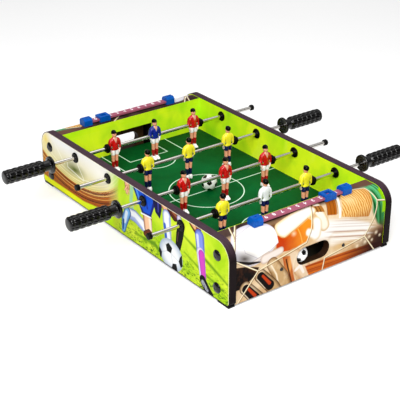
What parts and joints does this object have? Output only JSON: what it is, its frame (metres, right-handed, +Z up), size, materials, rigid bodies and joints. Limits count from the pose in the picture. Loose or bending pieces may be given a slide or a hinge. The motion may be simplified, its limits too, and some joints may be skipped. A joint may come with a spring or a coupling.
{
  "type": "tabletop foosball table",
  "caption": "Low tabletop foosball table with sliding, spinning rods of player figures, ribbed handles, goals with ball slots and sliding score counters.",
  "frame": {"origin": "on the surface that the feet stand on, in the middle of the table", "axes": "+X along the rods, +Y along the table towards the end whose figures face back, +Z up"},
  "size_m": [0.562, 0.51, 0.1135],
  "materials": {
    "side_print": "printed foil over fibreboard, satin",
    "end_print": "printed foil over fibreboard, satin",
    "lime_board": "printed foil over fibreboard, satin",
    "field_print": "printed board, satin",
    "edge_band": "satin strip",
    "raw_wood": "sawn, unfinished",
    "black_moulding": "fine moulded texture",
    "black_gloss": "moulded gloss",
    "black_rubber": "matt",
    "black_steel": "blackened",
    "zinc_steel": "zinc plated",
    "chrome_rod": "polished",
    "mauve_plastic": "moulded",
    "blue_plastic": "moulded gloss",
    "ball_plastic": "white with black spots",
    "figure_red": "painted, gloss",
    "figure_yellow": "painted, gloss",
    "keeper_blue": "painted, gloss",
    "keeper_white": "painted, gloss"
  },
  "bodies": {
    "cabinet": {"side_panel_left": "side_print", "side_panel_right": "side_print", "edge_band_left": "edge_band", "edge_band_right": "edge_band", "end_panel_near": "end_print", "end_panel_far": "end_print", "end_top_near": "end_print", "end_top_far": "end_print", "goal_wall_near": "lime_board", "goal_wall_far": "lime_board", "ball_tray_near": "black_moulding", "ball_tray_far": "black_moulding", "playfield": "field_print", "field_rails": "raw_wood", "corner_blocks": "raw_wood", "panel_screws": "zinc_steel", "screw_caps": "black_gloss", "tray_screws": "black_steel", "feet": "black_rubber", "rod_bushes": "black_moulding", "bush_rings": "black_moulding", "score_bars": "mauve_plastic", "score_blocks": "blue_plastic"},
    "near_score_slider": {"score_slider_near": "blue_plastic"},
    "far_score_slider": {"score_slider_far": "blue_plastic"},
    "field_ball": {"field_ball": "ball_plastic"},
    "return_ball": {"return_ball": "ball_plastic"},
    "rod1_stops": {"rod1_stop_rings": "black_rubber"},
    "rod1": {"rod1_bar": "chrome_rod", "rod1_handle": "black_gloss", "rod1_end_cap": "black_moulding", "rod1_player_left": "figure_red", "rod1_player_middle": "keeper_blue", "rod1_player_right": "figure_red", "rod1_pins": "zinc_steel"},
    "rod2_stops": {"rod2_stop_rings": "black_rubber"},
    "rod2": {"rod2_bar": "chrome_rod", "rod2_handle": "black_gloss", "rod2_end_cap": "black_moulding", "rod2_player_left": "figure_yellow", "rod2_player_middle": "figure_yellow", "rod2_player_right": "figure_yellow", "rod2_pins": "zinc_steel"},
    "rod3_stops": {"rod3_stop_rings": "black_rubber"},
    "rod3": {"rod3_bar": "chrome_rod", "rod3_handle": "black_gloss", "rod3_end_cap": "black_moulding", "rod3_player_left": "figure_red", "rod3_player_middle": "figure_red", "rod3_player_right": "figure_red", "rod3_pins": "zinc_steel"},
    "rod4_stops": {"rod4_stop_rings": "black_rubber"},
    "rod4": {"rod4_bar": "chrome_rod", "rod4_handle": "black_gloss", "rod4_end_cap": "black_moulding", "rod4_player_left": "figure_yellow", "rod4_player_middle": "keeper_white", "rod4_player_right": "figure_yellow", "rod4_pins": "zinc_steel"}
  },
  "joints": [
    {"name": "rod1_slide", "type": "slide", "parent": "cabinet", "child": "rod1_stops", "axis": [1, 0, 0], "range_m": [-0.0395, 0.0395]},
    {"name": "rod1_spin", "type": "hinge", "parent": "rod1_stops", "child": "rod1", "pos_m": [0, 0.144, 0.084], "axis": [1, 0, 0], "continuous": true},
    {"name": "rod2_slide", "type": "slide", "parent": "cabinet", "child": "rod2_stops", "axis": [1, 0, 0], "range_m": [-0.0395, 0.0395]},
    {"name": "rod2_spin", "type": "hinge", "parent": "rod2_stops", "child": "rod2", "pos_m": [0, 0.048, 0.084], "axis": [1, 0, 0], "continuous": true},
    {"name": "rod3_slide", "type": "slide", "parent": "cabinet", "child": "rod3_stops", "axis": [1, 0, 0], "range_m": [-0.0395, 0.0395]},
    {"name": "rod3_spin", "type": "hinge", "parent": "rod3_stops", "child": "rod3", "pos_m": [0, -0.048, 0.084], "axis": [1, 0, 0], "continuous": true},
    {"name": "rod4_slide", "type": "slide", "parent": "cabinet", "child": "rod4_stops", "axis": [1, 0, 0], "range_m": [-0.0395, 0.0395]},
    {"name": "rod4_spin", "type": "hinge", "parent": "rod4_stops", "child": "rod4", "pos_m": [0, -0.144, 0.084], "axis": [1, 0, 0], "continuous": true},
    {"name": "near_score_slide", "type": "slide", "parent": "cabinet", "child": "near_score_slider", "axis": [1, 0, 0], "range_m": [-0.116, 0.0145]},
    {"name": "far_score_slide", "type": "slide", "parent": "cabinet", "child": "far_score_slider", "axis": [1, 0, 0], "range_m": [-0.0145, 0.116]},
    {"name": "field_ball_roll", "type": "slide", "parent": "cabinet", "child": "field_ball", "axis": [1, 0, 0], "range_m": [-0.132, 0.122]},
    {"name": "return_ball_out", "type": "slide", "parent": "cabinet", "child": "return_ball", "axis": [0, -1, 0], "range_m": [0, 0.04]}
  ]
}
